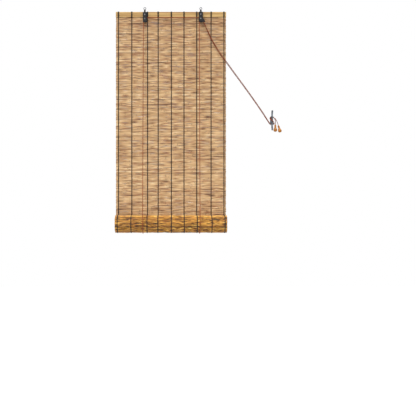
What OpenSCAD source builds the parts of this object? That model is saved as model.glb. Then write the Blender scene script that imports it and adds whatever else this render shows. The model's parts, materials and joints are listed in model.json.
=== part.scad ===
// Reed roller blind, half lowered: a reed mat hangs from a head batten and is rolled up from below by two lift cords.
// X points right, -Y points into the room and Z points up. The origin lies midway between the two hanging eyes.

/* [Head] */
// Distance between the centres of the two hanging eyes
eye_span = 304; // [240:1:420]
// Height of the eyes' centres above the top edge of the batten
eye_rise = 16; // [14:0.5:30]
// Height of the head batten
batten_h = 28; // [26:0.5:40]
// Thickness of the head batten
batten_t = 7; // [6:0.5:10]
// Radius of the batten's edges
batten_round = 1.5; // [0.5:0.1:2.5]
// Number of grooves along the batten's front
batten_grooves = 3; // [1:1:5]
// Width of a binding, the string wound round the batten
binding_w = 6.5; // [3:0.5:8]
// Thickness of a binding
binding_t = 1.2; // [0.8:0.1:2]

/* [Brackets] */
// Depth of a bracket's top below the batten's top edge
bracket_drop = 4; // [0:0.5:6]
// Width of a bracket's plates
plate_w = 22; // [19:0.5:24]
// Height of a bracket's plates
plate_h = 54; // [50:1:70]
// Sheet thickness of a bracket
plate_t = 1.5; // [1:0.1:2.5]
// Corner radius at the bottom of a plate
plate_round = 4; // [2:0.5:8]
// Reach of the cord horn on the right bracket's front plate
cord_horn = 12; // [6:0.5:18]
// Radius of the neck that holds an eye
neck_r = 4.8; // [3:0.1:4.8]
// Outer radius of a hanging eye
eye_r = 7.6; // [7:0.1:10]
// Radius of the hole in a hanging eye
eye_hole_r = 4; // [3:0.1:5]
// Thickness of a hanging eye
eye_t = 4; // [3:0.1:6]
// Radius of an eye's shank
shank_r = 1.5; // [1:0.1:2]
// Depth of a bracket's screw below the batten's top edge
screw_drop = 17; // [12:0.5:19]
// Radius of a screw
screw_r = 1.75; // [1.25:0.05:2.25]
// Radius of a screw's or rivet's head
head_r = 3.6; // [3:0.1:4.5]
// Height of a screw's or rivet's head
head_h = 1.6; // [1:0.1:2.5]

/* [Pulleys] */
// Outer radius of a pulley
flange_r = 9; // [8.5:0.1:9.3]
// Radius at the bottom of a pulley's groove
groove_r = 6; // [5:0.1:6.4]
// Width of a pulley
pulley_w = 6; // [5:0.1:8]
// Radius of a pulley's axle
axle_r = 2; // [1.5:0.1:2.5]
// Depth of the axles below the batten's top edge
axle_drop = 40; // [38:0.5:44]
// Free play at each side of a pulley
play = 0.4; // [0.3:0.05:0.8]
// Running clearance of a pulley on its axle
running = 0.05; // [0.02:0.01:0.1]

/* [Mat] */
// Width of the mat
mat_w = 600; // [500:10:900]
// Distance of the mat's middle from the middle of the eyes
mat_shift = -10; // [-12:1:-8]
// Number of reeds between the batten and the roll
reed_count = 216; // [150:1:300]
// Spacing of the reeds
reed_pitch = 5.2; // [4.8:0.1:6]
// Thickness of a reed
reed_t = 4.6; // [4:0.1:5.2]
// Depth of the groove between two reeds
reed_groove = 0.9; // [0.5:0.1:1.3]
// Distance of the outer strings from the mat's edges
string_edge = 13; // [8:1:20]
// Width of a string
string_w = 4; // [2:0.1:5]
// Thickness of a string
string_t = 0.9; // [0.5:0.05:1.2]
// Rows of gaps between the reeds
gap_rows = 12; // [4:1:14]
// Height of a gap
gap_h = 1.4; // [1:0.1:1.8]

/* [Roll] */
// Radius of the roll
roll_r = 50; // [40:1:60]
// Distance from one turn to the next
turn_pitch = 5.8; // [5.7:0.1:7]
// Radius of the bottom rod in the middle of the roll
rod_r = 8; // [6:0.5:12]

/* [Cords] */
// Radius of a cord
cord_r = 1.8; // [1:0.05:2]
// Depth of a lift cord's anchor below the batten's top edge
anchor_drop = 21; // [18:0.5:22]
// Angle above level at which the pull cords leave the right pulleys
leave_angle = 22; // [15:1:40]

/* [Cleat] */
// Place of the cleat to the right of the eyes' middle
cleat_x = 539; // [530:1:545]
// Place of the cleat below the eyes
cleat_z = -608; // [-615:1:-601]
// Length of the cleat
cleat_l = 110; // [95:1:130]
// Radius of the cleat's bar
bar_r = 4.6; // [3.5:0.1:5]
// Radius of the bow of the cleat's bar
bow_r = 100; // [80:1:150]
// Height of the cleat's boss
boss_h = 23; // [20:0.5:25]
// Width of the cleat's boss
boss_w = 11; // [10:0.5:14]
// Distance between the cleat's two screw holes
cleat_hole_span = 12; // [10:0.5:13]
// Radius of the cleat's screw holes
cleat_hole_r = 2; // [1.5:0.1:2.5]
// Thickness of the cleat's foot
foot_t = 3; // [2:0.1:4]
// Stand-off of the cleat's bar from its foot
bar_off = 12; // [11.5:0.1:15]

/* [Pulls] */
// Height of a wooden pull
pull_h = 39; // [34:1:44]
// Largest radius of a wooden pull
pull_r = 10; // [8:0.1:10.5]
// Radius of a pull's neck
pull_neck_r = 5; // [4:0.1:5.5]
// Height of a pull's neck
pull_neck_h = 14; // [10:0.5:16]
// Depth of the hollow's roof below the top of a pull
pull_roof = 20; // [18:0.5:22]
// Radius of the hollow in a pull
pull_hollow_r = 4.5; // [3.5:0.1:5.5]
// Lean of the right pull
pull_lean = 16; // [0:1:25]

/* [Hidden] */
$fn = 48;

// Clearances
fit = 0.05;
clear = 0.3;
string_lift = 0.15;

// Levels
batten_top = -eye_rise;
batten_bottom = batten_top - batten_h;
plate_top = batten_top - bracket_drop;
axle_z = batten_top - axle_drop;
screw_z = batten_top - screw_drop;
anchor_z = batten_top - anchor_drop;
mat_top = batten_bottom - fit;
string_top = mat_top - binding_t - fit;
mat_bottom = mat_top - reed_count * reed_pitch;
roll_z = mat_bottom - clear;

// Depths, from the room (-) to the wall (+)
back_lane = 0;
front_lane = back_lane - pulley_w - play;
seat_y = back_lane + pulley_w / 2 + play + plate_t;
batten_back = seat_y + batten_t;
turn_r = roll_r - reed_t / 2;
sling_r = roll_r + clear + cord_r;
cord_back_y = batten_back + 0.2 + cord_r;
roll_y = cord_back_y - sling_r;
mat_y = roll_y + turn_r;
anchor_head_y = cord_back_y + cord_r + 0.1;
wall_y = anchor_head_y + head_h + 1.2;

// Places along X
left_x = -eye_span / 2;
right_x = eye_span / 2;
wrap_r = groove_r + clear + cord_r;
cord_left_x = left_x - wrap_r;
cord_right_x = right_x - wrap_r;
mat_left = mat_shift - mat_w / 2;
anchor_r = screw_r + fit + cord_r + 0.05;

// Each string of a hand-woven mat drifts a little from even spacing
string_drift = [1, 2, 13.5, 2, 2, -1, -3.5, 3, 1];
last_string = len(string_drift) - 1;
string_pitch = (mat_w - 2 * string_edge) / last_string;
string_even = [for (i = [0:last_string]) mat_left + string_edge + i * string_pitch + string_drift[i]];

// A string that would lie under a bracket's plate moves to the plate's side
string_room = (plate_w + binding_w) / 2 + clear;
function beside(x, bracket_x) =
    abs(x - bracket_x) >= string_room ? x : bracket_x + (x < bracket_x ? -string_room : string_room);
string_x = [for (x = string_even) beside(beside(x, left_x), right_x)];
gap_margin = 8;

// Roll: a strip of reeds wound inwards from the back, down and round the front
inner_r = rod_r + clear + reed_t / 2;
strip_l = PI * (turn_r * turn_r - inner_r * inner_r) / turn_pitch;
roll_reeds = floor(strip_l / reed_pitch);

// Height of the straight stub that keeps each front cord clear of the roll when it is raised
stub_h = sling_r + 12;

// Cleat
bar_y = wall_y - foot_t - bar_off;
tip_r = bar_r + 0.4;
bow_half = asin((cleat_l / 2 - tip_r) / bow_r);
winding_drop = 17;
winding_h = 7;
winding_t = 5.8;

// Routes of the free cords, as points chosen by hand
pull_front_route = [
    [159.6, -6.4, -53.2], [165.6, -6.4, -68], [180, -6.2, -101.5], [199, -6, -141.5], [218, -5.7, -178.5],
    [239, -5.3, -214], [263, -4.9, -250], [295, -4.4, -294], [329, -3.8, -341], [363, -3.2, -387],
    [401, -2.6, -439], [439, -2, -492], [476.5, -1.4, -546], [502, -0.9, -584], [526.5, -0.3, -625]
];
pull_back_route = [
    [159.6, 0, -53.2], [165.5, 0, -68], [179.5, 0, -102], [197.5, 0, -143.5], [216, 0, -180.5],
    [236.5, 0, -216], [260, 0, -252], [292, 0, -296], [326, 0, -343], [360, 0, -389],
    [398, 0, -441], [436, 0, -494], [473.5, 0, -548], [499, 0, -586.5], [513, 2.9, -606.5],
    [526.8, 6.3, -627]
];
left_tail_route = [
    [546.8, -8.1, -593], [551.5, -8, -599], [555, -7, -606], [556.3, -6, -614], [556.2, -5, -623], [556, -4.5, -631]
];
right_tail_route = [
    [551.4, 1.5, -592], [556, 1.5, -597], [562, 1.5, -606], [567, 1.5, -616], [570.8, 1.5, -626], [573.5, 1.5, -635]
];
left_pull_top = [556, -4.5, -631.3];
right_pull_top = [573.6, 1.5, -635.4];

// Shared forms

// An outline of (y, z) points carried along X
module along_x(x0, length) {
    translate([x0, 0, 0]) rotate([90, 0, 90]) linear_extrude(length) children();
}

// An outline of (x, z) points carried along Y
module along_y(y0, length) {
    translate([0, y0 + length, 0]) rotate([90, 0, 0]) linear_extrude(length) children();
}

// A rectangle with round corners, centred
module rounded(w, h, r) {
    square([w, h - 2 * r], center = true);
    square([w - 2 * r, h], center = true);
    for (x = [-1, 1], y = [-1, 1])
        translate([x * (w / 2 - r), y * (h / 2 - r)]) circle(r);
}

// A low dome that stands on its flat side, facing up
module dome(r, h) {
    ball = (r * r + h * h) / (2 * h);
    rotate_extrude() intersection() {
        translate([0, h - ball]) circle(ball);
        square([r, h]);
    }
}

// A round-headed pin along Y: its head is on the room side of y0, its shank runs to y1
module pin(x, z, y0, y1, r) {
    translate([x, y0, z]) rotate([90, 0, 0]) dome(head_r, head_h);
    translate([x, y1, z]) rotate([90, 0, 0]) cylinder(r = r, h = y1 - y0);
}

// A straight round bar from a to b
module bar(a, b, r) {
    v = b - a;
    translate(a) rotate([0, acos(v.z / norm(v)), atan2(v.y, v.x)]) cylinder(r = r, h = norm(v));
}

// Part of a cord's turn round a pulley or pin whose axis lies along Y, from one angle to another
module wrap(x, y, z, r, from, to) {
    translate([x, y, z]) rotate([90, 0, 0]) rotate([0, 0, from])
        rotate_extrude(angle = to - from) translate([r, 0]) circle(cord_r);
}

// Half-width of the reed strip at its steps: a groove, then a flat crest
reed_steps = [[0, reed_t / 2 - reed_groove], [0.25, reed_t / 2], [0.75, reed_t / 2]];

// Points (distance along the strip, half-width) of a number of reeds side by side
function reed_edge(count) = concat(
    [for (k = [0:count - 1]) for (p = reed_steps) [(k + p[0]) * reed_pitch, p[1]]],
    [[count * reed_pitch, reed_steps[0][1]]]
);

// A list from its end to its start
function backwards(points) = [for (i = [len(points) - 1:-1:0]) points[i]];

// Angle that the strip has turned through at a distance s from its outer end
function turned(s) = 360 / turn_pitch * (turn_r - sqrt(turn_r * turn_r - turn_pitch * s / PI));

// Point (y, z) of the roll at a distance s along the strip and an offset outwards
function roll_point(s, offset) =
    let (a = turned(s), r = turn_r - turn_pitch * a / 360 + offset)
    [roll_y + r * cos(a), roll_z - r * sin(a)];

// Cord tube: rings of points round a route, joined by triangles
tube_sides = 8;
function unit(v) = v / norm(v);
function heading(route, i) =
    unit(route[min(i + 1, len(route) - 1)] - route[max(i - 1, 0)]);
function ring(route, i) =
    let (t = heading(route, i), n = unit(cross(t, [0, 1, 0])), m = cross(t, n))
    [for (k = [0:tube_sides - 1])
        let (a = 360 * k / tube_sides)
        route[i] + cord_r * (cos(a) * n + sin(a) * m)];
module tube(route) {
    last = len(route) - 1;
    points = [for (i = [0:last]) each ring(route, i)];
    sides = [for (i = [0:last - 1]) for (k = [0:tube_sides - 1])
        let (a = i * tube_sides + k, b = i * tube_sides + (k + 1) % tube_sides)
        each [[a, b, b + tube_sides], [a, b + tube_sides, a + tube_sides]]];
    start_cap = [for (k = [tube_sides - 1:-1:0]) k];
    end_cap = [for (k = [0:tube_sides - 1]) last * tube_sides + k];
    polyhedron(points, concat(sides, [start_cap, end_cap]));
}

// Head

// Pale slat with shallow grooves along its front, drilled for the bracket and anchor screws
module head_batten() {
    groove_step = batten_h / (batten_grooves + 1);
    color([0.78, 0.65, 0.45]) difference() {
        along_x(mat_left, mat_w) difference() {
            translate([seat_y + batten_t / 2, batten_top - batten_h / 2])
                rounded(batten_t, batten_h, batten_round);
            for (i = [1:batten_grooves])
                translate([seat_y, batten_top - i * groove_step]) circle(0.6);
        }
        for (x = [left_x, right_x])
            translate([x, batten_back - 1, screw_z]) rotate([90, 0, 0])
                cylinder(r = screw_r + fit, h = batten_t);
        for (x = [cord_left_x, cord_right_x])
            translate([x + anchor_r, batten_back + 1, anchor_z]) rotate([90, 0, 0])
                cylinder(r = screw_r + fit, h = batten_t - 1);
    }
}

// Nine bands of string wound round the batten
module head_bindings() {
    inner = [batten_t + 2 * fit, batten_h + 2 * fit];
    color([0.06, 0.05, 0.05]) for (x = string_x)
        along_x(x - binding_w / 2, binding_w)
            translate([seat_y + batten_t / 2, batten_top - batten_h / 2]) difference() {
                rounded(inner.x + 2 * binding_t, inner.y + 2 * binding_t, batten_round + binding_t);
                rounded(inner.x, inner.y, batten_round);
            }
}

// Room-side face of a bracket for a number of pulleys
function bracket_front(pulleys) = back_lane - pulley_w / 2 - play - (pulleys - 1) * (pulley_w + play) - plate_t;

// Outline of a plate: square at the top, round below, with a horn that guides the cord out to the right
module plate_outline(horn) {
    tip_r = 3;
    tip_x = plate_w / 2 + horn - tip_r;
    translate([0, plate_top - plate_h]) {
        translate([0, plate_h / 2]) rounded(plate_w, plate_h, plate_round);
        translate([-plate_w / 2, plate_h / 2]) square([plate_w, plate_h / 2]);
        if (horn > 0) {
            translate([tip_x, tip_r]) circle(tip_r);
            polygon([
                [0, 0], [tip_x, 0], [tip_x + tip_r * cos(45), tip_r + tip_r * sin(45)],
                [plate_w / 2, plate_h * 0.45], [0, plate_h * 0.45]
            ]);
        }
    }
}

// Two plates joined by a web at the top, with a neck above it
module bracket(x, pulleys, horn) {
    front = bracket_front(pulleys);
    color([0.1, 0.1, 0.11]) difference() {
        union() {
            translate([x, 0, 0]) along_y(seat_y - plate_t, plate_t) plate_outline(0);
            translate([x, 0, 0]) along_y(front, plate_t) plate_outline(horn);
            translate([x - plate_w / 2, front, plate_top - plate_t])
                cube([plate_w, seat_y - front, plate_t]);
            translate([x, back_lane, plate_top - plate_t])
                cylinder(r = neck_r, h = -eye_r - clear - plate_top + plate_t);
        }
        translate([x, back_lane, plate_top - 2 * plate_t])
            cylinder(r = shank_r + fit, h = -eye_r - plate_top + 2 * plate_t);
        for (p = [[axle_z, axle_r], [screw_z, screw_r]])
            translate([x, seat_y + 1, p[0]]) rotate([90, 0, 0])
                cylinder(r = p[1] + fit, h = seat_y - front + 2);
    }
}

module bracket_left() {
    bracket(left_x, 1, 0);
}

module bracket_right() {
    bracket(right_x, 2, cord_horn);
}

// Ring with a straight hole along Y, on a shank that stands in the bracket's neck
module eye(x) {
    band = eye_r - eye_hole_r;
    color([0.75, 0.75, 0.77]) union() {
        translate([x, back_lane, 0]) rotate([90, 0, 0]) rotate_extrude()
            translate([eye_hole_r + band / 2, 0]) rounded(band, eye_t, 0.8);
        translate([x, back_lane, plate_top - plate_t])
            cylinder(r = shank_r, h = -eye_r + band / 2 - plate_top + plate_t);
    }
}

module eye_left() {
    eye(left_x);
}

module eye_right() {
    eye(right_x);
}

// Rivet that the pulleys turn on, flush with the back of the bracket
module axle(x, pulleys) {
    color([0.7, 0.7, 0.72]) pin(x, axle_z, bracket_front(pulleys), seat_y, axle_r);
}

module axle_left() {
    axle(left_x, 1);
}

module axle_right() {
    axle(right_x, 2);
}

// Screws through both plates of each bracket into the batten
module bracket_screws() {
    tip = batten_back - 1.5;
    color([0.7, 0.7, 0.72]) {
        pin(left_x, screw_z, bracket_front(1), tip, screw_r);
        pin(right_x, screw_z, bracket_front(2), tip, screw_r);
    }
}

// Screws in the back of the batten, over the lift cords' ends
module anchor_screws() {
    color([0.7, 0.7, 0.72]) for (x = [cord_left_x, cord_right_x])
        translate([x + anchor_r, 0, anchor_z]) mirror([0, 1, 0])
            pin(0, 0, -anchor_head_y, 2.5 - batten_back, screw_r);
}

// Grooved roller with a running bore
module pulley(x, y) {
    bore_r = axle_r + running;
    round_r = cord_r + clear;
    lip = pulley_w / 2 - 0.8;
    color([0.85, 0.84, 0.8]) translate([x, y, axle_z]) rotate([90, 0, 0]) rotate_extrude() difference() {
        translate([bore_r, -pulley_w / 2]) square([flange_r - bore_r, pulley_w]);
        translate([groove_r + round_r, 0]) circle(round_r);
        polygon([
            [groove_r + round_r, -round_r], [flange_r + 1, -lip], [flange_r + 1, lip], [groove_r + round_r, round_r]
        ]);
    }
}

module pulley_left() {
    pulley(left_x, back_lane);
}

module pulley_right_front() {
    pulley(right_x, front_lane);
}

module pulley_right_back() {
    pulley(right_x, back_lane);
}

// Mat

// One wall of reeds, ridged on both faces, with gaps between some reeds in every bay and notches for the bindings
module mat_reeds() {
    edge = reed_edge(reed_count);
    front = [for (p = edge) [mat_y - p[1], mat_top - p[0]]];
    back = [for (p = backwards(edge)) [mat_y + p[1], mat_top - p[0]]];
    color([0.72, 0.55, 0.39]) difference() {
        along_x(mat_left, mat_w) polygon(concat(front, back));
        for (bay = [0:last_string - 1], row = [0:gap_rows - 1]) {
            reed = round((row + 0.25 + 0.5 * (bay % 2)) * reed_count / gap_rows);
            x0 = string_x[bay] + gap_margin;
            translate([x0, mat_y - reed_t, mat_top - reed * reed_pitch - gap_h / 2])
                cube([string_x[bay + 1] - gap_margin - x0, 2 * reed_t, gap_h]);
        }
        for (x = string_x)
            translate([x - binding_w / 2 - fit, mat_y - reed_t, string_top])
                cube([binding_w + 2 * fit, 2 * reed_t, mat_top - string_top + 1]);
    }
}

// Nine flat strings down one face of the mat
module mat_strings(y0) {
    color([0.08, 0.07, 0.07]) for (x = string_x)
        translate([x - string_w / 2, y0, mat_bottom])
            cube([string_w, string_t, string_top - mat_bottom]);
}

module mat_strings_front() {
    mat_strings(mat_y - reed_t / 2 - string_t);
}

module mat_strings_back() {
    mat_strings(mat_y + reed_t / 2);
}

// Roll

// The rolled-up end of the mat: one ridged strip wound round the bottom rod
module roll_turns() {
    edge = reed_edge(roll_reeds);
    outside = [for (p = edge) roll_point(p[0], p[1])];
    inside = [for (p = backwards(edge)) roll_point(p[0], -p[1])];
    color([0.68, 0.5, 0.26]) along_x(mat_left, mat_w) polygon(concat(outside, inside));
}

// Strings over the outer turn, up to where it passes under the hanging mat
module roll_strings() {
    start = reed_pitch;
    span = 2 * PI * turn_r * 0.86;
    steps = 40;
    places = [for (i = [0:steps]) start + span * i / steps];
    low = reed_t / 2 + string_lift;
    outside = [for (s = places) roll_point(s, low + string_t)];
    inside = [for (s = backwards(places)) roll_point(s, low)];
    color([0.08, 0.07, 0.07]) for (x = string_x)
        along_x(x - string_w / 2, string_w) polygon(concat(outside, inside));
}

// Round stick at the mat's lower edge
module bottom_rod() {
    color([0.7, 0.52, 0.3]) translate([mat_left, roll_y, roll_z]) rotate([0, 90, 0])
        cylinder(r = rod_r, h = mat_w);
}

// Lift cords

// From a pulley down the front of the mat to the sling
module front_run(x, lane) {
    color([0.5, 0.25, 0.13])
        bar([x, roll_y - sling_r, roll_z + stub_h + clear], [x, lane, axle_z - clear], cord_r);
}

// From the sling up the back of the mat to the anchor screw
module back_run(x) {
    color([0.5, 0.25, 0.13])
        bar([x, cord_back_y, roll_z + clear], [x, cord_back_y, anchor_z], cord_r);
}

module lift_cord_left_front() {
    front_run(cord_left_x, back_lane);
}

module lift_cord_left_back() {
    back_run(cord_left_x);
}

module lift_cord_right_front() {
    front_run(cord_right_x, front_lane);
}

module lift_cord_right_back() {
    back_run(cord_right_x);
}

// Half turn of cord under the roll, with a straight stub up its front
module sling(x) {
    color([0.5, 0.25, 0.13]) union() {
        translate([x, roll_y, roll_z]) rotate([90, 0, 90]) rotate([0, 0, 180])
            rotate_extrude(angle = 180) translate([sling_r, 0]) circle(cord_r);
        translate([x, roll_y - sling_r, roll_z]) cylinder(r = cord_r, h = stub_h);
    }
}

module sling_left() {
    sling(cord_left_x);
}

module sling_right() {
    sling(cord_right_x);
}

// The lift cords' ends, hooked round the anchor screws
module anchor_loops() {
    color([0.5, 0.25, 0.13]) for (x = [cord_left_x, cord_right_x])
        wrap(x + anchor_r, cord_back_y, anchor_z, anchor_r, -60, 180);
}

// The cords where they pass over the three pulleys
module pulley_wraps() {
    color([0.5, 0.25, 0.13]) {
        wrap(left_x, back_lane, axle_z, wrap_r, 90, 180);
        wrap(right_x, back_lane, axle_z, wrap_r, leave_angle, 90);
        wrap(right_x, front_lane, axle_z, wrap_r, leave_angle, 180);
    }
}

// From the left pulley along the head to the right bracket
module cross_cord() {
    z = axle_z + wrap_r;
    color([0.5, 0.25, 0.13]) bar([left_x, back_lane, z], [right_x, back_lane, z], cord_r);
}

// Pull cords and cleat

module pull_cord_front() {
    color([0.5, 0.25, 0.13]) tube(pull_front_route);
}

module pull_cord_back() {
    color([0.5, 0.25, 0.13]) tube(pull_back_route);
}

module tail_left() {
    color([0.5, 0.25, 0.13]) tube(left_tail_route);
}

module tail_right() {
    color([0.5, 0.25, 0.13]) tube(right_tail_route);
}

// Depth of the cleat's bar at a height above or below its middle
function bar_depth(z) = bar_y - bow_r + sqrt(bow_r * bow_r - z * z);

// The cord wound behind both horns of the cleat
module cleat_winding() {
    inner = bar_r + 0.7;
    color([0.45, 0.2, 0.1]) for (z = [-winding_drop, winding_drop])
        translate([cleat_x, bar_depth(z), cleat_z + z]) rotate_extrude()
            translate([inner + winding_t / 2, 0]) rounded(winding_t, winding_h, 2);
}

// Bowed round bar with a flat boss and foot, drilled for two screws
module cleat() {
    boss_front = bar_y - bar_r - 0.5;
    foot_h = boss_h + 12;
    color([0.55, 0.57, 0.6]) difference() {
        union() {
            translate([cleat_x, bar_y - bow_r, cleat_z]) rotate([90, 0, 90]) rotate([0, 0, -bow_half])
                rotate_extrude(angle = 2 * bow_half) translate([bow_r, 0]) circle(bar_r);
            for (z = [-1, 1] * (cleat_l / 2 - tip_r))
                translate([cleat_x, bar_depth(z), cleat_z + z]) sphere(tip_r);
            translate([cleat_x, 0, cleat_z]) along_y(boss_front, wall_y - boss_front)
                rounded(boss_w, boss_h, boss_w / 2 - 0.5);
            translate([cleat_x, 0, cleat_z]) along_y(wall_y - foot_t, foot_t)
                rounded(boss_w + 5, foot_h, boss_w / 2);
        }
        for (z = [-1, 1] * cleat_hole_span / 2)
            translate([cleat_x, wall_y + 1, cleat_z + z]) rotate([90, 0, 0])
                cylinder(r = cleat_hole_r, h = wall_y - boss_front + 2);
    }
}

// Turned pull: a neck that swells into a bell, hollow from below, drilled for the cord
module pull() {
    bore_r = cord_r + clear;
    rim = 0.8;
    bell_z = pull_r - pull_h;
    base_angle = acos((pull_hollow_r + rim) / pull_r);
    flank_angle = 30;
    steps = 12;
    bell = [for (i = [0:steps])
        let (a = flank_angle - i * (flank_angle + base_angle) / steps)
        [pull_r * cos(a), bell_z + pull_r * sin(a)]];
    base_z = bell[steps].y;
    color([0.78, 0.53, 0.2]) rotate_extrude() polygon(concat(
        [[bore_r, 0], [pull_neck_r - 1, 0], [pull_neck_r, -1], [pull_neck_r, -pull_neck_h]],
        bell,
        [[pull_hollow_r, base_z], [pull_hollow_r, -pull_roof], [bore_r, -pull_roof]]
    ));
}

// Places a piece at the end of each tail
module at_left_pull() {
    translate(left_pull_top) children();
}

module at_right_pull() {
    translate(right_pull_top) rotate([0, -pull_lean, 0]) children();
}

module pull_left() {
    at_left_pull() pull();
}

module pull_right() {
    at_right_pull() pull();
}

// End of a tail inside a pull, with a knot in the hollow
module knot() {
    knot_r = 3;
    color([0.45, 0.2, 0.1]) union() {
        translate([0, 0, -pull_roof - knot_r - fit]) sphere(knot_r);
        translate([0, 0, -pull_roof - knot_r]) cylinder(r = cord_r, h = pull_roof + knot_r);
    }
}

module pull_knots() {
    at_left_pull() knot();
    at_right_pull() knot();
}

head_batten();
head_bindings();
bracket_left();
bracket_right();
eye_left();
eye_right();
axle_left();
axle_right();
bracket_screws();
anchor_screws();
pulley_left();
pulley_right_front();
pulley_right_back();
mat_reeds();
mat_strings_front();
mat_strings_back();
roll_turns();
roll_strings();
bottom_rod();
lift_cord_left_front();
lift_cord_left_back();
lift_cord_right_front();
lift_cord_right_back();
sling_left();
sling_right();
anchor_loops();
pulley_wraps();
cross_cord();
pull_cord_front();
pull_cord_back();
cleat_winding();
tail_left();
tail_right();
cleat();
pull_left();
pull_right();
pull_knots();
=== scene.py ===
"""Looks of a reed roller blind, half lowered: woven mat, roll, cords over pulleys, wall cleat and two pulls.

Every piece is in metres, in the frame of the solids: X to the right, -Y into the room, Z up.
"""

import json
import math

import bpy
import numpy as np
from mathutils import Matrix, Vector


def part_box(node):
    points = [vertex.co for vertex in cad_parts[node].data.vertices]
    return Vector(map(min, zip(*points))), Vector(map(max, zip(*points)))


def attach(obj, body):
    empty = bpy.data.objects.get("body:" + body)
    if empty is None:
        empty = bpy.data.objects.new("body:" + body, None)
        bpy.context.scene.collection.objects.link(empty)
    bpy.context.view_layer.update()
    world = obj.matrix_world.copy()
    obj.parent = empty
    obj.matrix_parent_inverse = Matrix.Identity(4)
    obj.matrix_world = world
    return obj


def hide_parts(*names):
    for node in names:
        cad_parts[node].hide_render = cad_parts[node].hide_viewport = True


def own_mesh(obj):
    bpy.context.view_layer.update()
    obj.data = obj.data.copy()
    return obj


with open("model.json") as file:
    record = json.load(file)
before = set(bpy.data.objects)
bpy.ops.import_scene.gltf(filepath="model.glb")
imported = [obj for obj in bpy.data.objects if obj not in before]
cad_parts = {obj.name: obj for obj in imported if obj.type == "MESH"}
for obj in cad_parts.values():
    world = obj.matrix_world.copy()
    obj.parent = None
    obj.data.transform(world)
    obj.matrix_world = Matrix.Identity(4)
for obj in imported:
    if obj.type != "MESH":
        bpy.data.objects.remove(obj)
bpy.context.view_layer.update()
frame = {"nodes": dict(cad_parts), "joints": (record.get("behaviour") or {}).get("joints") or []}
nodes = frame["nodes"]
joints = {joint["name"]: joint for joint in frame["joints"]}
random = np.random.default_rng(seed=11)
MM = 0.001


# Places and sizes that the frame gives

def corners(node):
    """Lowest and highest corner of a solid as two arrays."""
    return tuple(np.array(corner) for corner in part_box(node))


def middles_x(node):
    """Middle of each like bar in a node, along X: the bars' left and right faces, taken in pairs."""
    vertices = nodes[node].data.vertices
    places = np.empty(3 * len(vertices), np.float32)
    vertices.foreach_get("co", places)
    return np.unique(places[::3].round(5)).reshape(-1, 2).mean(1)


mat_low, mat_high = corners("mat_reeds")
mat_mid = (mat_low + mat_high) / 2
mat_left, mat_right = mat_low[0], mat_high[0]
mat_w = mat_right - mat_left
mat_y = mat_mid[1]
reed_t = mat_high[1] - mat_low[1]
roll_axis = np.array(joints["roll_spin"]["pos_m"])
turn_r = mat_y - roll_axis[1]
string_x = middles_x("mat_strings_front")
batten_low, batten_high = corners("head_batten")
cleat_low, cleat_high = corners("cleat")
cleat_mid = (cleat_low + cleat_high) / 2

# Sizes that the frame doesn't give
reed_pitch = 5.2 * MM
turn_pitch = 5.8 * MM
rod_r = 8 * MM
reed_count = round((mat_high[2] - mat_low[2]) / reed_pitch)
gap_rows = 12
gap_h = 0.9 * MM
groove_step = 7 * MM
strand_w = 2.4 * MM
strand_t = 1.1 * MM


# Meshes

def put_mesh(name, points, face_groups, flat_groups=(), **attributes):
    """A mesh object at the origin from points (n, 3) and groups of faces (count, corners each).

    The groups whose numbers are in flat_groups are shaded flat, the rest smooth. Each attribute is one number
    a point.
    """
    mesh = bpy.data.meshes.new(name)
    sizes = np.concatenate([np.full(len(group), group.shape[1]) for group in face_groups])
    loops = np.concatenate([group.ravel() for group in face_groups])
    smooth = [np.full(len(group), k not in flat_groups) for k, group in enumerate(face_groups)]
    mesh.vertices.add(len(points))
    mesh.vertices.foreach_set("co", points.astype(np.float32).ravel())
    mesh.loops.add(len(loops))
    mesh.loops.foreach_set("vertex_index", loops.astype(np.int32))
    mesh.polygons.add(len(sizes))
    mesh.polygons.foreach_set("loop_start", (np.cumsum(sizes) - sizes).astype(np.int32))
    mesh.update(calc_edges=True)
    mesh.polygons.foreach_set("use_smooth", np.concatenate(smooth))
    for attribute, values in attributes.items():
        layer = mesh.attributes.new(attribute, "FLOAT", "POINT")
        layer.data.foreach_set("value", np.broadcast_to(values, len(points)).astype(np.float32))
    mesh.update()
    piece = bpy.data.objects.new(name, mesh)
    bpy.context.scene.collection.objects.link(piece)
    return piece


def tube_faces(stations, sides, closed=False):
    """Quads of a tube, a grid of stations by sides: its sides join up and, if closed, its ends do too."""
    i = np.arange(stations if closed else stations - 1)[:, None]
    k = np.arange(sides)[None, :]
    near = i * sides
    far = (i + 1) % stations * sides
    after = (k + 1) % sides
    return np.stack([near + k, near + after, far + after, far + k], -1).reshape(-1, 4)


def cap_faces(stations, sides):
    """The two end faces of an open tube."""
    ring = np.arange(sides)
    return np.stack([ring[::-1], (stations - 1) * sides + ring])


def copies(faces, count, points_each):
    """The same faces for a number of like grids whose points follow one another."""
    return (faces[None] + np.arange(count)[:, None, None] * points_each).reshape(-1, faces.shape[1])


def unit(vectors):
    """Vectors along the last axis, each divided by its length."""
    return vectors / np.linalg.norm(vectors, axis=-1, keepdims=True)


def across(path, reference, closed=False):
    """Two directions across a path (..., stations, 3).

    The first is square to its run and to the reference, and the second to its run and to the first.
    """
    if closed:
        run = np.roll(path, -1, -2) - np.roll(path, 1, -2)
    else:
        run = np.gradient(path, axis=-2)
    first = unit(np.cross(run, reference))
    return first, unit(np.cross(run, first))


def sweep(path, first, second, offsets):
    """Points (..., stations, sides, 3): a path, plus offsets (..., sides, 2) along two directions across."""
    return (
        path[..., None, :]
        + offsets[..., :1] * first[..., None, :]
        + offsets[..., 1:] * second[..., None, :]
    )


def circle(sides):
    """Unit circle (sides, 2), anticlockwise."""
    angle = np.linspace(0, 2 * np.pi, sides, endpoint=False)
    return np.stack([np.cos(angle), np.sin(angle)], -1)


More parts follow.
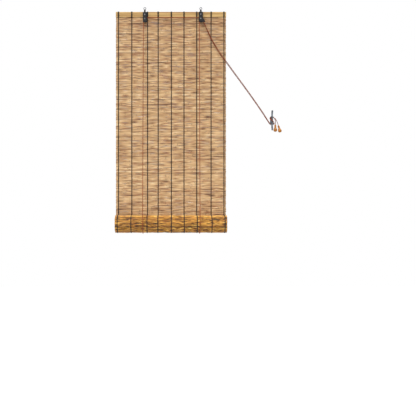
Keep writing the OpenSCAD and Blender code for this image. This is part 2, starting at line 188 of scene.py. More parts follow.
def eased(values, places):
    """Values at whole numbers along the last axis, eased between them by 3t^2 - 2t^3 and read at places."""
    low = np.clip(np.floor(places).astype(int), 0, values.shape[-1] - 2)
    t = places - low
    t = t * t * (3 - 2 * t)
    return values[..., low] * (1 - t) + values[..., low + 1] * t


def wander(count, lumps, stations):
    """Smooth random numbers (count, stations): normal ones at the ends of so many lumps, eased between."""
    return eased(random.normal(0, 1, (count, lumps + 1)), np.linspace(0, lumps, stations))


arc_steps = 40


def through(points, step):
    """A smooth path through points, read again at equal steps of length.

    Cubic arcs join the points. At each point the tangent is that of the parabola through it and its two
    neighbours: the slopes of the chords on both sides, each weighted by the other chord's length.
    """
    points = np.asarray(points, float)
    chord = np.linalg.norm(np.diff(points, axis=0), axis=1)[:, None]
    slope = np.diff(points, axis=0) / chord
    inner = (slope[:-1] * chord[1:] + slope[1:] * chord[:-1]) / (chord[:-1] + chord[1:])
    tangent = np.concatenate([slope[:1], inner, slope[-1:]])
    t = np.linspace(0, 1, arc_steps, endpoint=False)[None, :, None]
    arcs = (
        (2 * t**3 - 3 * t**2 + 1) * points[:-1, None]
        + (t**3 - 2 * t**2 + t) * (chord * tangent[:-1])[:, None]
        + (3 * t**2 - 2 * t**3) * points[1:, None]
        + (t**3 - t**2) * (chord * tangent[1:])[:, None]
    )
    line = np.concatenate([arcs.reshape(-1, 3), points[-1:]])
    along = np.concatenate([[0], np.cumsum(np.linalg.norm(np.diff(line, axis=0), axis=1))])
    even = np.linspace(0, along[-1], max(2, round(along[-1] / step) + 1))
    return np.stack([np.interp(even, along, line[:, axis]) for axis in range(3)], -1)


# Camera

camera_back = 3.65
camera_z = -1.083
camera_lens = 58.0
camera_sensor = 36.0
camera_shift = 0.089


def make_camera():
    """Level camera in front of the mat's middle. The shift puts the blind to the left in the picture."""
    data = bpy.data.cameras.new("camera")
    data.lens = camera_lens
    data.sensor_width = camera_sensor
    data.shift_x = camera_shift
    camera = bpy.data.objects.new("camera", data)
    camera.location = (mat_mid[0], mat_y - camera_back, camera_z)
    camera.rotation_euler = (math.pi / 2, 0, 0)
    bpy.context.scene.collection.objects.link(camera)
    bpy.context.scene.camera = camera


make_camera()


# Finishes

def srgb(red, green, blue):
    """A colour given as three screen values from 0 to 255, as linear light."""
    screen = np.array([red, green, blue]) / 255
    linear = np.where(screen <= 0.04045, screen / 12.92, ((screen + 0.055) / 1.055) ** 2.4)
    return (*linear, 1.0)


reeds_apart = 700.0


class Finish:
    """A material under construction. An input takes a value or another node's output."""

    def __init__(self, name, roughness, metallic=0.0):
        self.material = bpy.data.materials.new(name)
        self.material.use_nodes = True
        self.tree = self.material.node_tree
        self.shader = self.tree.nodes["Principled BSDF"]
        self.set("Roughness", roughness)
        self.set("Metallic", metallic)

    def set(self, socket, value):
        self.feed(self.shader.inputs[socket], value)

    def feed(self, socket, value):
        if isinstance(value, bpy.types.NodeSocket):
            self.tree.links.new(value, socket)
        else:
            socket.default_value = value

    def place(self, scale=(1, 1, 1)):
        """Object coordinates, scaled."""
        source = self.tree.nodes.new("ShaderNodeTexCoord")
        mapping = self.tree.nodes.new("ShaderNodeMapping")
        self.feed(mapping.inputs["Vector"], source.outputs["Object"])
        mapping.inputs["Scale"].default_value = scale
        return mapping.outputs["Vector"]

    def along(self, axis):
        """One Object coordinate, in metres."""
        split = self.tree.nodes.new("ShaderNodeSeparateXYZ")
        self.feed(split.inputs[0], self.place())
        return split.outputs[axis]

    def attribute(self, name):
        """A number that the mesh carries at each point."""
        node = self.tree.nodes.new("ShaderNodeAttribute")
        node.attribute_name = name
        return node.outputs["Fac"]

    def noise(self, scale, detail=2.0, distortion=0.0):
        """Cloudy noise from 0 to 1, with so many lumps a metre along each axis."""
        return self.clouds(self.place(scale), detail, distortion)

    def reed_noise(self, lumps, shift):
        """Noise with so many lumps a metre along each reed, different on each. A shift gives other noise."""
        place = self.tree.nodes.new("ShaderNodeCombineXYZ")
        self.feed(place.inputs["X"], self.math("MULTIPLY", self.along("X"), lumps))
        self.feed(place.inputs["Y"], self.math("MULTIPLY_ADD", self.attribute("joint"), reeds_apart, shift))
        return self.clouds(place.outputs[0], 1.0, 0.0)

    def clouds(self, place, detail, distortion):
        """Noise from 0 to 1, one lump to each unit of place."""
        node = self.tree.nodes.new("ShaderNodeTexNoise")
        self.feed(node.inputs["Vector"], place)
        node.inputs["Scale"].default_value = 1.0
        node.inputs["Detail"].default_value = detail
        node.inputs["Distortion"].default_value = distortion
        return node.outputs["Fac"]

    def math(self, operation, first, second=0.5, third=0.5):
        node = self.tree.nodes.new("ShaderNodeMath")
        node.operation = operation
        for socket, value in zip(node.inputs, (first, second, third)):
            self.feed(socket, value)
        return node.outputs[0]

    def ramp(self, value, *stops):
        """Colour (or grey) by value: stops are (place, colour)."""
        node = self.tree.nodes.new("ShaderNodeValToRGB")
        self.feed(node.inputs["Fac"], value)
        elements = node.color_ramp.elements
        while len(elements) < len(stops):
            elements.new(1.0)
        for element, (place, colour) in zip(elements, stops):
            element.position = place
            element.color = colour
        return node.outputs["Color"]

    def fade(self, value, start, end):
        """0 below start, 1 above end and an even rise between them."""
        node = self.tree.nodes.new("ShaderNodeMapRange")
        self.feed(node.inputs["Value"], value)
        node.inputs["From Min"].default_value = start
        node.inputs["From Max"].default_value = end
        return node.outputs["Result"]

    def mix(self, share, first, second, blend="MIX"):
        node = self.tree.nodes.new("ShaderNodeMix")
        node.data_type = "RGBA"
        node.blend_type = blend
        self.feed(node.inputs["Factor"], share)
        colours = [socket for socket in node.inputs if socket.type == "RGBA"]
        self.feed(colours[0], first)
        self.feed(colours[1], second)
        return next(socket for socket in node.outputs if socket.type == "RGBA")

    def bump(self, height, distance):
        """Surface relief of so many metres from a height of 0 to 1."""
        node = self.tree.nodes.new("ShaderNodeBump")
        self.feed(node.inputs["Height"], height)
        node.inputs["Distance"].default_value = distance
        self.set("Normal", node.outputs["Normal"])


joints_a_metre = 5.5
joint_line = (0.0015, 0.004)
joint_stretch = (0.003, 0.03)
line_share = 0.5
brown_share = 0.3
tints_a_metre = 17
red_share = 0.48
grey_share = 0.46
rim_colour = srgb(214, 186, 140)
# painted shade: the dark bottom of each reed's hollow end
painted_hollow_shade = srgb(52, 36, 22)


def reed_finish(name, stops, red, grey, joint_colour):
    """Dried reed: colour by the reed's own tone and fine fibres along X, with reddish and greyed stretches.

    A dark line in a brown stretch marks each joint, with widths in shares of the way from joint to joint. The
    cut ends are pale round a hollow with painted shade.
    """
    finish = Finish(name, 0.5)
    streaks = finish.noise((9, 420, 420), detail=3.0)
    fibres = finish.noise((40, 2600, 2600))
    tone = finish.math("MULTIPLY_ADD", streaks, 0.4, finish.math("ADD", finish.attribute("tone"), -0.2))
    colour = finish.ramp(tone, *stops)
    for tint, share, shift in ((red, red_share, 40.0), (grey, grey_share, 90.0)):
        stretch = finish.fade(finish.reed_noise(tints_a_metre, shift), 0.54, 0.7)
        colour = finish.mix(finish.math("MULTIPLY", stretch, share), colour, tint)
    place = finish.math("MULTIPLY_ADD", finish.along("X"), joints_a_metre, finish.attribute("joint"))
    to_joint = finish.math("ABSOLUTE", finish.math("SUBTRACT", finish.math("FRACT", place), 0.5))
    brown = finish.math("MULTIPLY_ADD", finish.fade(to_joint, *joint_stretch), -brown_share, brown_share)
    line = finish.math("SUBTRACT", 1.0, finish.fade(to_joint, *joint_line))
    colour = finish.mix(brown, colour, joint_colour)
    colour = finish.mix(finish.math("MULTIPLY", line, line_share), colour, joint_colour)
    cut = finish.attribute("cut")
    colour = finish.mix(finish.fade(cut, 0.2, 0.5), colour, rim_colour)
    # painted shade in the hollow of each cut end
    colour = finish.mix(finish.fade(cut, 0.6, 1.0), colour, painted_hollow_shade)
    finish.set("Base Color", colour)
    finish.set("Roughness", finish.fade(streaks, -0.6, 1.4))
    finish.bump(finish.math("MULTIPLY_ADD", line, -1.5, fibres), 0.25 * MM)
    return finish.material


def wood_finish(name, light, dark, scale, roughness, gloss=0.0):
    """Wood with long grain: noise drawn out along one axis, with finer pores over it."""
    finish = Finish(name, roughness)
    grain = finish.noise(scale, detail=4.0, distortion=0.6)
    pores = finish.noise(tuple(8 * part for part in scale))
    colour = finish.ramp(grain, (0.3, dark), (0.62, light))
    colour = finish.mix(finish.fade(pores, 0.55, 0.8), colour, dark)
    finish.set("Base Color", colour)
    finish.set("Coat Weight", gloss)
    finish.set("Coat Roughness", 0.15)
    finish.bump(grain, 0.15 * MM)
    return finish.material


def slat_finish(name, light, dark, groove_shade_colour):
    """Pale slat: each strip between two grooves has its own tone and long grain. The grooves get painted
    shade.
    """
    finish = Finish(name, 0.5)
    grain = finish.noise((9, 260, 260), detail=4.0, distortion=0.6)
    strips = finish.math("DIVIDE", finish.math("SUBTRACT", finish.along("Z"), batten_low[2]), groove_step)
    own = finish.noise((3, 0, 0.9 / groove_step), detail=0.0)
    tone = finish.math("MULTIPLY_ADD", own, 0.9, finish.math("MULTIPLY_ADD", grain, 0.5, -0.2))
    colour = finish.ramp(tone, (0.3, dark), (0.62, light))
    to_groove = finish.math("ABSOLUTE", finish.math("SUBTRACT", finish.math("FRACT", strips), 0.5))
    # painted shade in the grooves
    dirt_and_painted_shade = finish.math("MULTIPLY", finish.fade(to_groove, 0.34, 0.48), 0.7)
    finish.set("Base Color", finish.mix(dirt_and_painted_shade, colour, groove_shade_colour))
    finish.bump(grain, 0.15 * MM)
    return finish.material


def twine_finish(name, light, dark, lumps):
    """Spun thread: two tones in fine lumps, dull, with a soft sheen and a hairy relief."""
    finish = Finish(name, 0.85)
    hairs = finish.noise((lumps, lumps, lumps), detail=3.0)
    slow = finish.noise((28, 28, 28))
    colour = finish.ramp(hairs, (0.32, dark), (0.68, light))
    finish.set("Base Color", finish.mix(finish.fade(slow, 0.3, 0.9), colour, dark))
    finish.set("Sheen Weight", 0.12)
    finish.set("Sheen Roughness", 0.5)
    finish.bump(hairs, 0.2 * MM)
    return finish.material


def paint_finish(name, colour, worn, roughness):
    """Painted sheet steel: a faint orange-peel relief and a few thin places where the paint is worn."""
    finish = Finish(name, roughness)
    peel = finish.noise((900, 900, 900))
    patches = finish.noise((130, 130, 130), detail=5.0)
    finish.set("Base Color", finish.mix(finish.fade(patches, 0.62, 0.74), colour, worn))
    finish.set("Roughness", finish.fade(patches, -0.9, 1.6))
    finish.set("Specular IOR Level", 0.3)
    finish.bump(peel, 0.05 * MM)
    return finish.material


def metal_finish(name, light, dark, roughness, scratches):
    """Bare metal: cloudy tone, fine scratches along one axis that also change the gloss."""
    finish = Finish(name, roughness, metallic=1.0)
    clouds = finish.noise((60, 60, 60), detail=4.0)
    lines = finish.noise(scratches, detail=2.0)
    finish.set("Base Color", finish.ramp(clouds, (0.3, dark), (0.7, light)))
    finish.set("Roughness", finish.math("MULTIPLY_ADD", lines, 0.25, roughness - 0.12))
    finish.bump(lines, 0.03 * MM)
    return finish.material


def moulded_finish(name, light, dark):
    """Moulded plastic: a fine matt grain and slightly dirty patches."""
    finish = Finish(name, 0.5)
    grain = finish.noise((1500, 1500, 1500))
    dirt_and_painted_shade = finish.noise((120, 120, 120), detail=4.0)
    finish.set("Base Color", finish.ramp(dirt_and_painted_shade, (0.35, dark), (0.6, light)))
    finish.bump(grain, 0.04 * MM)
    return finish.material


mat_reed = reed_finish(
    "mat_reed",
    [
        (0.0, srgb(108, 74, 50)),
        (0.25, srgb(162, 120, 80)),
        (0.5, srgb(207, 167, 118)),
        (0.75, srgb(230, 196, 146)),
        (1.0, srgb(242, 216, 172)),
    ],
    srgb(176, 112, 72),
    srgb(160, 140, 128),
    srgb(100, 68, 48),
)
roll_reed = reed_finish(
    "roll_reed",
    [
        (0.0, srgb(54, 32, 12)),
        (0.3, srgb(140, 90, 30)),
        (0.55, srgb(202, 142, 54)),
        (0.8, srgb(234, 178, 78)),
        (1.0, srgb(248, 204, 108)),
    ],
    srgb(170, 96, 34),
    srgb(148, 112, 62),
    srgb(76, 46, 20),
)
# the last colour is the painted shade in the slat's grooves
pale_slat = slat_finish("pale_slat", srgb(226, 188, 122), srgb(178, 134, 76), srgb(122, 84, 44))
rod_wood = wood_finish("rod_wood", srgb(186, 140, 84), srgb(140, 98, 54), (12, 300, 300), 0.6)
pull_wood = wood_finish(
    "varnished_pull", srgb(200, 128, 28), srgb(130, 74, 15), (420, 420, 60), 0.5, gloss=0.1,
)
black_string = twine_finish("black_string", srgb(27, 25, 25), srgb(10, 9, 9), 2200)
brown_cord = twine_finish("brown_cord", srgb(190, 96, 40), srgb(118, 50, 18), 1800)
# painted shade: the lift cords' colour made darker for the pull cords, their turns round the cleat and the
# knots
painted_shade_cord = twine_finish("painted_shade_cord", srgb(168, 80, 36), srgb(100, 42, 16), 1800)
black_paint = paint_finish("black_paint", srgb(30, 29, 30), srgb(64, 62, 60), 0.5)
bright_steel = metal_finish(
    "bright_steel", (0.34, 0.34, 0.36, 1), (0.2, 0.2, 0.22, 1), 0.3, (80, 1600, 1600),
)
dull_steel = metal_finish(
    "dull_steel", (0.22, 0.22, 0.23, 1), (0.13, 0.13, 0.14, 1), 0.42, (1600, 80, 1600),
)
cast_grey = metal_finish("cleat_grey", srgb(124, 132, 140), srgb(76, 80, 85), 0.5, (900, 900, 120))
ivory_plastic = moulded_finish("pulley_plastic", srgb(222, 218, 206), srgb(188, 182, 168))


def dress(piece, material, body=None, replaced=()):
    """Gives a piece its finish and slot and, where it is a new one, its body and the nodes it stands for."""
    piece.data.materials.clear()
    piece.data.materials.append(material)
    if body:
        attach(piece, body)
    if replaced:
        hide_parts(*replaced)
    return piece


# Ropes

rope_strands = 3
rope_sides = 12
rope_pitch = 9 * MM
rope_step = 1.1 * MM
rope_lobe = 0.14


def rope_points(path, radius, reference):
    """Laid rope: lobes round the path, radius times 1 - lobe + lobe |cos|, that turn once in each pitch."""
    angle = np.linspace(0, 2 * np.pi, rope_sides, endpoint=False)
    along = np.concatenate([[0], np.cumsum(np.linalg.norm(np.diff(path, axis=0), axis=1))])
    turned = angle[None, :] - 2 * np.pi * along[:, None] / rope_pitch
    lobes = radius * (1 - rope_lobe + rope_lobe * np.abs(np.cos(rope_strands / 2 * turned)))
    offsets = lobes[..., None] * circle(rope_sides)
    return sweep(path, *across(path, reference), offsets)


def make_rope(name, paths, radius, reference):
    """One piece from one or more laid ropes along paths."""
    points, sides, caps, start = [], [], [], 0
    for path in paths:
        points.append(rope_points(path, radius, reference).reshape(-1, 3))
        sides.append(tube_faces(len(path), rope_sides) + start)
        caps.append(cap_faces(len(path), rope_sides) + start)
        start += len(points[-1])
    faces = [np.concatenate(sides), np.concatenate(caps)]
    return put_mesh(name, np.concatenate(points), faces, flat_groups=(1,))


def straight(start, end):
    """Places at even steps from one point to another."""
    start, end = np.asarray(start, float), np.asarray(end, float)
    count = max(2, round(np.linalg.norm(end - start) / rope_step) + 1)
    return start + np.linspace(0, 1, count)[:, None] * (end - start)


def round_arc(centre, radius, first, second, start, end):
    """Places on an arc about a centre, in the plane of two unit directions, between two angles in degrees."""
    count = max(3, round(abs(math.radians(end - start)) * radius / rope_step) + 1)
    angle = np.radians(np.linspace(start, end, count))[:, None]
    return centre + radius * (np.cos(angle) * np.array(first) + np.sin(angle) * np.array(second))


# Free pull cords, from the right pulleys to the cleat and down to the pulls

cord_r = (corners("cross_cord")[1][2] - corners("cross_cord")[0][2]) / 2
pull_front_run = [
    [159.6, -6.4, -53.2], [165.6, -6.4, -68], [180, -6.2, -101.5], [199, -6, -141.5], [218, -5.7, -178.5],
    [239, -5.3, -214], [263, -4.9, -250], [295, -4.4, -294], [329, -3.8, -341], [363, -3.2, -387],
    [401, -2.6, -439], [439, -2, -492], [476.5, -1.4, -546], [502, -0.9, -584], [516, 0.4, -607],
]
pull_back_run = [
    [159.6, 0, -53.2], [165.5, 0, -68], [179.5, 0, -102], [197.5, 0, -143.5], [216, 0, -180.5],
    [236.5, 0, -216], [260, 0, -252], [292, 0, -296], [326, 0, -343], [360, 0, -389],
    [398, 0, -441], [436, 0, -494], [473.5, 0, -548], [499, 0, -586.5], [513, 2.9, -606.5],
]
left_tail = [
    [551.5, -8, -599], [555, -7, -606], [556.3, -6, -614], [556.2, -5, -623], [556, -4.5, -633],
]
right_tail = [
    [556, 1.5, -597], [562, 1.5, -606], [567, 1.5, -616], [570.8, 1.5, -626], [574.1, 1.5, -637.2],
]
bar_y = cleat_high[1] - 15 * MM
bow_r = 100 * MM
turn_start = 60
turn_points = 25
turn_rise = 20 * MM
turn_shift = 2.2 * MM


def cleat_turn(reach, depth, shift, end):
    """One S of cord round the cleat: behind its lower horn, up across its front and behind its upper horn.

    It is a figure of eight, x = -reach sin 2a, z = shift - rise sin a and y = bar - depth cos 2a, with a from
    its start to the end, in degrees. The bar bows away from the wall.
    """
    a = np.radians(np.linspace(turn_start, end, turn_points))
    x = cleat_mid[0] - reach * np.sin(2 * a)
    z = shift - turn_rise * np.sin(a)
    bar = bar_y - bow_r + np.sqrt(bow_r**2 - z**2)
    return np.stack([x, bar - depth * np.cos(2 * a), cleat_mid[2] + z], -1)


def make_pull_cord(name, run, turn, tail, replaced):
    """A free cord: run to the cleat, turn round it and tail down to the pull."""
    route = np.concatenate([np.array(run) * MM, turn, np.array(tail) * MM])
    path = through(route, rope_step)
    piece = make_rope(name, [path], cord_r, (0, 1, 0))
    # the darker cord colour is painted shade
    dress(piece, painted_shade_cord, "head", replaced)


pull_left = dress(nodes["pull_left"], pull_wood)
pull_right = dress(nodes["pull_right"], pull_wood)
# the knots take the darker cord colour: painted shade
pull_knots = dress(nodes["pull_knots"], painted_shade_cord)
make_pull_cord(
    "pull_cord_to_left_pull", pull_front_run, cleat_turn(10 * MM, 7.2 * MM, turn_shift, 315), left_tail,
    ["pull_cord_front", "tail_left", "cleat_winding"],
)
make_pull_cord(
    "pull_cord_to_right_pull", pull_back_run, cleat_turn(11.9 * MM, 9 * MM, -turn_shift, 290), right_tail,
    ["pull_cord_back", "tail_right"],
)


# Reeds

reed_sides = 8
mat_stations = 49
roll_stations = 97
hollow_depth = 4 * MM
end_cut = 2 * MM
bay_marks = np.concatenate([[mat_left], string_x, [mat_right]])


def reed_places(stations):
    """Even places along X, with their bay (strings are at whole numbers) and their share of its free bow."""
    x = np.linspace(mat_left, mat_right, stations)
    bay = np.interp(x, bay_marks, np.arange(len(bay_marks)))
    return x, np.minimum(bay.astype(int), len(bay_marks) - 2), np.sin(np.pi * bay) ** 2


def reed_tubes(name, x, centre, out, up, half_t, half_h, tone, joint):
    """Reeds as tubes along X, each ring an ellipse: half_t along out and half_h along up.

    centre, out and up are (reeds, stations, 2) in Y and Z. Both ends are cut unevenly, and there the ring
    turns in to a rim and a hollow: its radius halves, and then it goes back into the reed. The finish paints
    the hollow dark as shade.
    """
    count, stations = half_t.shape
    order = np.concatenate([[0, 0], np.arange(stations), [stations - 1] * 2])
    size = np.ones(len(order))
    size[[0, 1, -2, -1]] = 0.5
    cut = np.zeros(len(order))
    cut[[1, -2]] = 0.8
    cut[[0, -1]] = 1.0
    inward = np.zeros(len(order))
    inward[0], inward[-1] = hollow_depth, -hollow_depth
    ends = random.uniform(0, end_cut, (2, count, 1))
    span = (x - mat_left) / mat_w
    places = mat_left + ends[0] + span * (mat_w - ends[0] - ends[1])
    ring = circle(reed_sides)
    points = np.empty((count, len(order), reed_sides, 3))
    points[..., 0] = (places[:, order] + inward)[..., None]
    across_t = (half_t[:, order] * size)[..., None] * ring[:, 0]
    across_h = (half_h[:, order] * size)[..., None] * ring[:, 1]
    for axis in (0, 1):
        points[..., 1 + axis] = (
            centre[:, order, axis, None]
            + across_t * out[:, order, axis, None]
            + across_h * up[:, order, axis, None]
        )
    faces = tube_faces(len(order), reed_sides)
    at_end = np.isin(faces[:, 0] // reed_sides, [0, 1, len(order) - 3, len(order) - 2])
    each = len(order) * reed_sides
    groups = [faces[~at_end], faces[at_end], cap_faces(len(order), reed_sides)]
    shape = (count, len(order), reed_sides)
    return put_mesh(
        name,
        points.reshape(-1, 3),
        [copies(group, count, each) for group in groups],
        flat_groups=(1, 2),
        tone=np.broadcast_to(tone[:, order, None], shape).reshape(-1),
        joint=np.broadcast_to(joint[:, None, None], shape).reshape(-1),
        cut=np.broadcast_to(cut[None, :, None], shape).reshape(-1),
    )


def reed_tone(count, stations, spread, patch, patches):
    """Tone of each reed along its length: its own level, changed by so many patches."""
    return random.normal(0.5, spread, (count, 1)) + patch * wander(count, patches, stations)


def neighbours(values):
    """Values evened out between each row and the rows above and below it."""
    return 0.5 * values + 0.25 * (np.roll(values, 1, 0) + np.roll(values, -1, 0))


def make_mat():
    """Hanging mat: reeds held at the strings, with their own bow in each bay and gaps between some of them.

    The reeds a little below the batten are darker: painted shade.
    """
    bow_spread, bow_most = 0.28 * MM, 0.6 * MM
    drift_size, lean_size, swell_share = 0.22 * MM, 0.35 * MM, 0.07
    painted_shade_reed, painted_shade_reach, painted_shade_depth = 5, 4, 0.16
    x, bay, free = reed_places(mat_stations)
    bays = len(bay_marks) - 1
    bow = np.clip(random.normal(0, bow_spread, (reed_count, bays)), -bow_most, bow_most)
    for i in range(1, bays - 1):
        for row in range(gap_rows):
            reed = math.floor((row + 0.25 + 0.5 * ((i - 1) % 2)) * reed_count / gap_rows + 0.5)
            bow[reed - 2 : reed + 2, i] = np.array([0.5, 1, -1, -0.5]) * gap_h / 2
    level = mat_high[2] - (np.arange(reed_count) + 0.5) * reed_pitch
    drift = drift_size * wander(reed_count, 24, mat_stations)
    lean = lean_size * wander(reed_count, 16, mat_stations)
    centre = np.stack([mat_y + lean, level[:, None] + bow[:, bay] * free + drift], -1)
    out = np.broadcast_to([1.0, 0.0], centre.shape)
    up = np.broadcast_to([0.0, 1.0], centre.shape)
    swell = 1 + swell_share * wander(reed_count, 12, mat_stations)
    # painted shade: a darker tone on the reeds a little below the batten
    painted_shade = painted_shade_depth * np.exp(-((np.arange(reed_count) - painted_shade_reed) / painted_shade_reach) ** 2)
    tone = reed_tone(reed_count, mat_stations, 0.08, 0.165, 24) - painted_shade[:, None]
    return reed_tubes(
        "reed_mat", x, centre, out, up, 0.96 * reed_t / 2 * swell, 0.575 * reed_pitch * swell,
        tone, random.uniform(0, 1, reed_count),
    )


def roll_place(s, offset):
    """Centre, outward and upward direction (Y, Z) of the rolled strip, at a distance s from the hanging mat.

    The radius shrinks by one turn's pitch in each turn, so the angle in turns is
    (R - sqrt(R^2 - pitch s / pi)) / pitch. Offset is outwards.
    """
    turns = (turn_r - np.sqrt(turn_r**2 - turn_pitch * s / np.pi)) / turn_pitch
    a = 2 * np.pi * turns
    out = np.stack([np.cos(a), -np.sin(a)], -1)
    up = np.stack([np.sin(a), np.cos(a)], -1)
    return roll_axis[1:] + (turn_r - turn_pitch * turns + offset)[..., None] * out, out, up


rod_room = 0.3 * MM
inner_r = rod_r + rod_room + reed_t / 2
strip_l = np.pi * (turn_r**2 - inner_r**2) / turn_pitch
roll_reeds = math.floor(strip_l / reed_pitch)
outer_turns = 1.15
outer_reeds = math.ceil(outer_turns * 2 * np.pi * turn_r / reed_pitch)


def make_outer_turn():
    """The roll's outer turn: reeds that bow in bunches along the strip, some of them deeper and darker by
    painted shade.
    """
    bunch_spread, own_spread, wave_size = 4.6 * MM, 0.6 * MM, 1.6 * MM
    sink_depth, sink_painted_shade, swell_share = 1.2 * MM, 0.2, 0.09
    x, bay, free = reed_places(roll_stations)
    bays = len(bay_marks) - 1
    bunch = neighbours(neighbours(random.normal(0, bunch_spread, (outer_reeds, bays))))
    own = random.normal(0, own_spread, (outer_reeds, bays))
    wave = wave_size * neighbours(wander(outer_reeds, 30, roll_stations))
    sunk = np.maximum(wander(outer_reeds, 36, roll_stations), -0.1)
    even = (np.arange(outer_reeds) + 0.5)[:, None] * reed_pitch
    s = even + (bunch + own)[:, bay] * free + wave * (0.3 + 0.7 * free)
    centre, out, up = roll_place(np.maximum(s, 0.3 * reed_pitch), -sink_depth * sunk)
    swell = 1 + swell_share * wander(outer_reeds, 20, roll_stations)
    # painted shade: the deeper a reed is sunk, the darker its tone
    tone = reed_tone(outer_reeds, roll_stations, 0.12, 0.16, 36) - sink_painted_shade * sunk
    return reed_tubes(
        "roll_outer_turn", x, centre, out, up, 0.94 * reed_t / 2 * swell, 0.5 * reed_pitch * swell,
        tone, random.uniform(0, 1, outer_reeds),
    )


def make_inner_turns():
    """The roll's inner turns, straight, seen only at its ends."""
    stations = 5
    unevenness = 0.15 * MM
    count = roll_reeds - outer_reeds
    x = np.linspace(mat_left, mat_right, stations)
    s = (outer_reeds + np.arange(count) + 0.5)[:, None] * reed_pitch + np.zeros(stations)
    centre, out, up = roll_place(s, random.normal(0, unevenness, (count, 1)) + np.zeros(stations))
    half_t = np.full((count, stations), 0.94 * reed_t / 2)
    half_h = np.full((count, stations), 0.49 * reed_pitch)
    tone = np.repeat(random.uniform(0.2, 0.7, (count, 1)), stations, 1)
    return reed_tubes(
        "roll_inner_turns", x, centre, out, up, half_t, half_h, tone, random.uniform(0, 1, count),
    )


def flatten(piece):
    """Gives a hanging piece a mesh of its own."""
    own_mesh(piece)


mat = dress(make_mat(), mat_reed, "head", ["mat_reeds"])
flatten(mat)
dress(make_outer_turn(), roll_reed, "roll", ["roll_turns"])
dress(make_inner_turns(), roll_reed, "roll")
dress(nodes["bottom_rod"], rod_wood)


# Strings

strand_sides = 6
strand_steps = 4
strand_swing = 0.3 * strand_w
string_turn = 0.86


def strand_waves(first, last):
    """Two strands a string, in reeds from first to last: places u, and each strand's wave out and sideways.

    At whole numbers, the reeds, one strand lies in front and the other behind. Half way they cross side by
    side, at once, because the wave is a cosine cut off above and below.
    """
    u = np.linspace(first, last, round((last - first) * strand_steps) + 1)
    phase = np.pi * (u[None, :] + np.arange(2)[:, None])
    return u, np.clip(1.6 * np.cos(phase), -1, 1), np.sin(phase)


def make_strands(name, paths):
    """Strings as flat strands along paths (strings, stations, 3): ellipses that are wider along X."""
    first, second = across(paths, (1.0, 0.0, 0.0))
    count, stations = paths.shape[:2]
    points = sweep(paths, first, second, circle(strand_sides) * (strand_t, strand_w))
    groups = [tube_faces(stations, strand_sides), cap_faces(stations, strand_sides)]
    each = stations * strand_sides
    faces = [copies(group, count, each) for group in groups]
    return put_mesh(name, points.reshape(-1, 3), faces, flat_groups=(1,))


def make_mat_strings():
    """Strings down the mat: twined strands that pass the reeds in front and behind by turns."""
    u, out, side = strand_waves(-0.5, reed_count - 0.5)
    reach = reed_t / 2 + 0.4 * strand_t
    paths = np.empty((len(string_x), 2, len(u), 3))
    paths[..., 0] = string_x[:, None, None] + strand_swing * side
    paths[..., 1] = mat_y + reach * out
    paths[..., 2] = mat_high[2] - (u + 0.5) * reed_pitch
    return make_strands("mat_strings", paths.reshape(-1, len(u), 3))


def make_roll_strings():
    """The same strings over the roll's outer turn."""
    u, out, side = strand_waves(0.5, 1.5 + math.floor(string_turn * 2 * np.pi * turn_r / reed_pitch))
    reach = reed_t / 2 + 0.2 * strand_t
    centre, _, _ = roll_place((u + 0.5) * reed_pitch + np.zeros((2, 1)), reach * out)
    paths = np.empty((len(string_x), 2, len(u), 3))
    paths[..., 0] = string_x[:, None, None] + strand_swing * side
    paths[..., 1:] = centre
    return make_strands("roll_outer_strings", paths.reshape(-1, len(u), 3))


strings = make_mat_strings()
dress(strings, black_string, "head", ["mat_strings_front", "mat_strings_back"])
flatten(strings)
dress(make_roll_strings(), black_string, "roll", ["roll_strings"])


# Head

def make_bindings():
    """Three turns of thick string round the batten at each string: closed loops of a rounded rectangle."""
    turns, corner_steps, sides = 3, 6, 6
    wire_r, corner_r, wobble = 1.3 * MM, 2.2 * MM, 0.12 * MM
    half = (batten_high - batten_low)[1:] / 2 + 0.7 * wire_r
    middle = (batten_high + batten_low)[1:] / 2
    angle = np.radians(np.linspace(0, 90, corner_steps)[None, :] + 90 * np.arange(4)[:, None])
    signs = np.array([[1, 1], [-1, 1], [-1, -1], [1, -1]])[:, None, :]
    loop = signs * (half - corner_r) + corner_r * np.stack([np.cos(angle), np.sin(angle)], -1)
    loop = loop.reshape(-1, 2) + middle
    shift = (np.arange(turns) - (turns - 1) / 2) * 1.9 * wire_r
    x = (string_x[:, None] + shift).reshape(-1)
    x = x[:, None] + random.normal(0, wobble, (len(x), len(loop)))
    paths = np.concatenate([x[..., None], np.broadcast_to(loop, (len(x), *loop.shape))], -1)
    first, second = across(paths, (1.0, 0.0, 0.0), closed=True)
    points = sweep(paths, first, second, wire_r * circle(sides))
    each = len(loop) * sides
    faces = copies(tube_faces(len(loop), sides, closed=True), len(x), each)
    return put_mesh("binding_turns", points.reshape(-1, 3), [faces])


dress(nodes["head_batten"], pale_slat)
dress(make_bindings(), black_string, "head", ["head_bindings"])
for side in ("left", "right"):
    dress(nodes["bracket_" + side], black_paint)
    dress(nodes["eye_" + side], bright_steel)
    dress(nodes["axle_" + side], dull_steel)
for node in ("bracket_screws", "anchor_screws"):
    dress(nodes[node], dull_steel)
for node in ("pulley_left", "pulley_right_front", "pulley_right_back"):
    dress(nodes[node], ivory_plastic)
dress(nodes["cleat"], cast_grey)


# Lift cords, held by the blind all the way

def make_run(side, face):
    """One run of a lift cord, along its solid's own line."""
    node = f"lift_cord_{side}_{face}"
    low, high = corners(node)
    x, y, _ = (low + high) / 2
    if face == "front":
        start, end = (x, low[1] + cord_r, low[2]), (x, high[1] - cord_r, high[2])
    else:
        start, end = (x, y, low[2]), (x, y, high[2])
    piece = make_rope(f"{node}_rope", [straight(start, end)], cord_r, (1, 0, 0))
    dress(piece, brown_cord, "head", [node])
    flatten(piece)


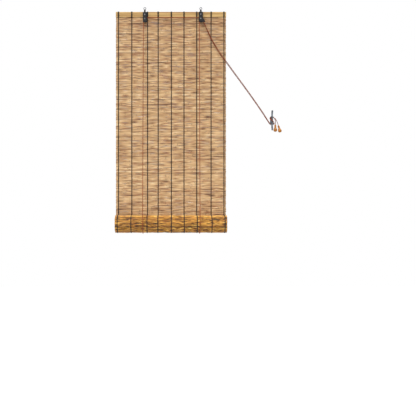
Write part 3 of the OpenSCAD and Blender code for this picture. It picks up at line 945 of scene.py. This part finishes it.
def make_sling(side):
    """The half turn of a lift cord under the roll, with the straight stub at its front."""
    node = "sling_" + side
    low, high = corners(node)
    centre = np.array([(low[0] + high[0]) / 2, roll_axis[1], roll_axis[2]])
    radius = roll_axis[2] - low[2] - cord_r
    half_turn = round_arc(centre, radius, (0, 1, 0), (0, 0, 1), 0, -180)
    stub = straight(half_turn[-1], half_turn[-1] + [0, 0, high[2] - roll_axis[2]])
    piece = make_rope(f"{node}_rope", [np.concatenate([half_turn, stub[1:]])], cord_r, (1, 0, 0))
    dress(piece, brown_cord, "slings", [node])


def make_cross_cord():
    """The cord along the batten, from the left pulley to the right bracket."""
    low, high = corners("cross_cord")
    _, y, z = (low + high) / 2
    piece = make_rope("cross_cord_rope", [straight((low[0], y, z), (high[0], y, z))], cord_r, (0, 1, 0))
    dress(piece, brown_cord, "head", ["cross_cord"])


for side in ("left", "right"):
    make_run(side, "front")
    make_run(side, "back")
    make_sling(side)
make_cross_cord()
for node in ("anchor_loops", "pulley_wraps"):
    dress(nodes[node], brown_cord)


# Stage and light

floor_z = -2.35
floor_left, floor_right = -6.0, 6.0
floor_front, floor_back = -5.0, 7.0
floor_grey = 0.55
floor_glow = 0.55
light_from_below = 0.34
light_from_above = 0.8


def background_rays(tree):
    """1 for rays that show the background, mirrored or through glass too, and 0 for those that light."""
    path = tree.nodes.new("ShaderNodeLightPath")
    seen = path.outputs["Is Camera Ray"]
    for ray in ("Is Glossy Ray", "Is Transmission Ray"):
        node = tree.nodes.new("ShaderNodeMath")
        node.operation = "MAXIMUM"
        tree.links.new(seen, node.inputs[0])
        tree.links.new(path.outputs[ray], node.inputs[1])
        seen = node.outputs[0]
    return seen


def make_floor():
    """A pale floor far below the blind. It looks white, less the shadow on it, and throws light back up."""
    points = np.array([
        [floor_left, floor_front, floor_z],
        [floor_right, floor_front, floor_z],
        [floor_right, floor_back, floor_z],
        [floor_left, floor_back, floor_z],
    ])
    floor = put_mesh("floor", points, [np.array([[0, 1, 2, 3]])])
    finish = Finish("pale_floor", 0.9)
    finish.set("Base Color", (floor_grey, floor_grey, floor_grey, 1))
    finish.set("Emission Color", (1, 1, 1, 1))
    finish.set("Emission Strength", finish.math("MULTIPLY", background_rays(finish.tree), floor_glow))
    floor.data.materials.append(finish.material)


def make_world():
    """White background. Its light on surfaces rises evenly from straight below to straight above."""
    world = bpy.data.worlds.new("studio")
    bpy.context.scene.world = world
    world.use_nodes = True
    tree = world.node_tree
    light = tree.nodes["Background"]
    light.inputs["Color"].default_value = (1, 1, 1, 1)
    place = tree.nodes.new("ShaderNodeTexCoord")
    split = tree.nodes.new("ShaderNodeSeparateXYZ")
    tree.links.new(place.outputs["Generated"], split.inputs[0])
    level = tree.nodes.new("ShaderNodeMapRange")
    level.inputs["From Min"].default_value = -1
    level.inputs["From Max"].default_value = 1
    level.inputs["To Min"].default_value = light_from_below
    level.inputs["To Max"].default_value = light_from_above
    tree.links.new(split.outputs["Z"], level.inputs["Value"])
    strength = tree.nodes.new("ShaderNodeMath")
    strength.operation = "MAXIMUM"
    tree.links.new(level.outputs["Result"], strength.inputs[0])
    tree.links.new(background_rays(tree), strength.inputs[1])
    tree.links.new(strength.outputs[0], light.inputs["Strength"])


def make_lamp(name, aim, softness, strength):
    """A far, soft lamp that shines along a direction. Softness is its width in degrees."""
    data = bpy.data.lights.new(name, "SUN")
    data.angle = math.radians(softness)
    data.energy = strength
    lamp = bpy.data.objects.new(name, data)
    tilt = math.atan2(math.hypot(aim[0], aim[1]), -aim[2])
    turn = math.atan2(aim[0], -aim[1]) + math.pi
    lamp.rotation_euler = (tilt, 0, turn)
    bpy.context.scene.collection.objects.link(lamp)


make_floor()
make_world()
make_lamp("key", (0.3, 0.5, -0.9), 25, 2.45)
make_lamp("back", (-0.5, -0.8, -0.5), 35, 0.9)
bpy.context.scene.view_settings.view_transform = "Standard"
